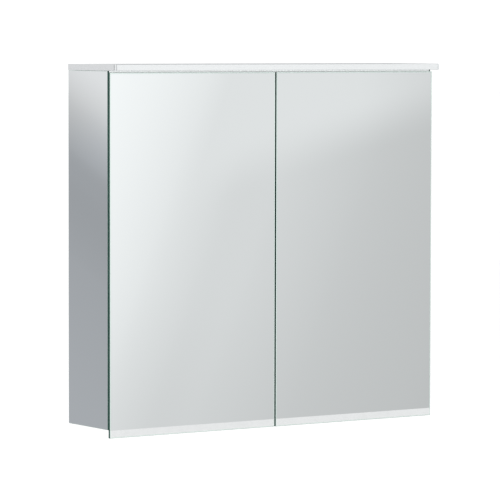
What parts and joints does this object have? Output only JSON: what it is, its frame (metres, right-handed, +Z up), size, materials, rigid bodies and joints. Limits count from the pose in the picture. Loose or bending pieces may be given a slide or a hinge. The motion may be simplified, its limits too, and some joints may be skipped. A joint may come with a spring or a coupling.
{
  "type": "mirror cabinet",
  "caption": "Wall-hung bathroom cabinet with mirrored sides, hinged mirror doors, glass shelves and a flat lit canopy; the doors overhang the body as a finger grip.",
  "frame": {"origin": "under the middle of the cabinet, level with the lower edges of the doors", "axes": "+X to the right seen from the front, +Y back into the wall, +Z up"},
  "size_m": [0.75, 0.172, 0.7],
  "materials": {
    "mirror_glass": "silvered float glass with polished edges",
    "white_board": "matt white laminated board",
    "clear_glass": "clear float glass with polished edges",
    "satin_aluminium": "fine satin anodised",
    "light_diffuser": "opal white",
    "led_board": "white circuit board with warm emitters",
    "hinge_steel": "nickel plated",
    "zinc_steel": "zinc plated",
    "white_plastic": "semi-gloss white",
    "grey_plastic": "moulded grey",
    "silicone": "translucent"
  },
  "bodies": {
    "root": {"back_panel": "white_board", "bottom_led_strip": "led_board", "bottom_light_channel": "satin_aluminium", "bottom_light_diffuser": "light_diffuser", "bottom_panel": "white_board", "cable_gland": "grey_plastic", "canopy_diffuser": "light_diffuser", "canopy_housing": "satin_aluminium", "canopy_led_strip": "led_board", "centre_partition": "white_board", "led_driver": "white_plastic", "left_back_mirror": "mirror_glass", "left_canopy_end_cap": "satin_aluminium", "left_hanger": "zinc_steel", "left_lower_door_bumper": "silicone", "left_lower_hinge_arm": "hinge_steel", "left_lower_shelf": "clear_glass", "left_side_mirror": "mirror_glass", "left_side_panel": "white_board", "left_upper_door_bumper": "silicone", "left_upper_hinge_arm": "hinge_steel", "left_upper_shelf": "clear_glass", "right_back_mirror": "mirror_glass", "right_canopy_end_cap": "satin_aluminium", "right_hanger": "zinc_steel", "right_lower_door_bumper": "silicone", "right_lower_hinge_arm": "hinge_steel", "right_lower_shelf": "clear_glass", "right_side_mirror": "mirror_glass", "right_side_panel": "white_board", "right_upper_door_bumper": "silicone", "right_upper_hinge_arm": "hinge_steel", "right_upper_shelf": "clear_glass", "socket_housing": "white_plastic", "socket_insert": "white_plastic", "switch_frame": "white_plastic", "terminal_box": "grey_plastic", "top_panel": "white_board", "wall_rail": "zinc_steel"},
    "left_door": {"left_door_front_mirror": "mirror_glass", "left_door_rear_mirror": "mirror_glass", "left_lower_hinge_door_plate": "hinge_steel", "left_upper_hinge_door_plate": "hinge_steel"},
    "right_door": {"right_door_front_mirror": "mirror_glass", "right_door_rear_mirror": "mirror_glass", "right_lower_hinge_door_plate": "hinge_steel", "right_upper_hinge_door_plate": "hinge_steel"},
    "left_inner_links": {"left_lower_hinge_inner_link": "hinge_steel", "left_upper_hinge_inner_link": "hinge_steel"},
    "right_inner_links": {"right_lower_hinge_inner_link": "hinge_steel", "right_upper_hinge_inner_link": "hinge_steel"},
    "left_outer_links": {"left_lower_hinge_outer_link": "hinge_steel", "left_upper_hinge_outer_link": "hinge_steel"},
    "right_outer_links": {"right_lower_hinge_outer_link": "hinge_steel", "right_upper_hinge_outer_link": "hinge_steel"},
    "socket_flap": {"socket_flap": "white_plastic"},
    "switch_rocker": {"switch_rocker": "white_plastic"}
  },
  "joints": [
    {"name": "left_door_swing", "type": "hinge", "parent": "root", "child": "left_door", "pos_m": [-0.3714, -0.0621, 0.35], "axis": [0, 0, -1], "range_deg": [0, 110]},
    {"name": "left_inner_links_swing", "type": "hinge", "parent": "root", "child": "left_inner_links", "pos_m": [-0.35, -0.041, 0.35], "axis": [0, 0, -1], "range_deg": [0, 110]},
    {"name": "left_outer_links_swing", "type": "hinge", "parent": "left_door", "child": "left_outer_links", "pos_m": [-0.33, -0.053, 0.35], "axis": [0, 0, -1], "range_deg": [-110, 0]},
    {"name": "right_door_swing", "type": "hinge", "parent": "root", "child": "right_door", "pos_m": [0.3714, -0.0621, 0.35], "axis": [0, 0, 1], "range_deg": [0, 110]},
    {"name": "right_inner_links_swing", "type": "hinge", "parent": "root", "child": "right_inner_links", "pos_m": [0.35, -0.041, 0.35], "axis": [0, 0, 1], "range_deg": [0, 110]},
    {"name": "right_outer_links_swing", "type": "hinge", "parent": "right_door", "child": "right_outer_links", "pos_m": [0.33, -0.053, 0.35], "axis": [0, 0, 1], "range_deg": [-110, 0]},
    {"name": "socket_flap_lift", "type": "hinge", "parent": "root", "child": "socket_flap", "pos_m": [0.252, 0.009, 0.095], "axis": [-1, 0, 0], "range_deg": [0, 100]},
    {"name": "switch_rocker_tip", "type": "hinge", "parent": "root", "child": "switch_rocker", "pos_m": [0.312, 0.016, 0.0665], "axis": [1, 0, 0], "range_deg": [0, 10]}
  ],
  "couplings": [
    {"joint": "left_inner_links_swing", "follows": "left_door_swing", "ratio": 1},
    {"joint": "left_outer_links_swing", "follows": "left_door_swing", "ratio": -1},
    {"joint": "right_inner_links_swing", "follows": "right_door_swing", "ratio": 1},
    {"joint": "right_outer_links_swing", "follows": "right_door_swing", "ratio": -1}
  ]
}
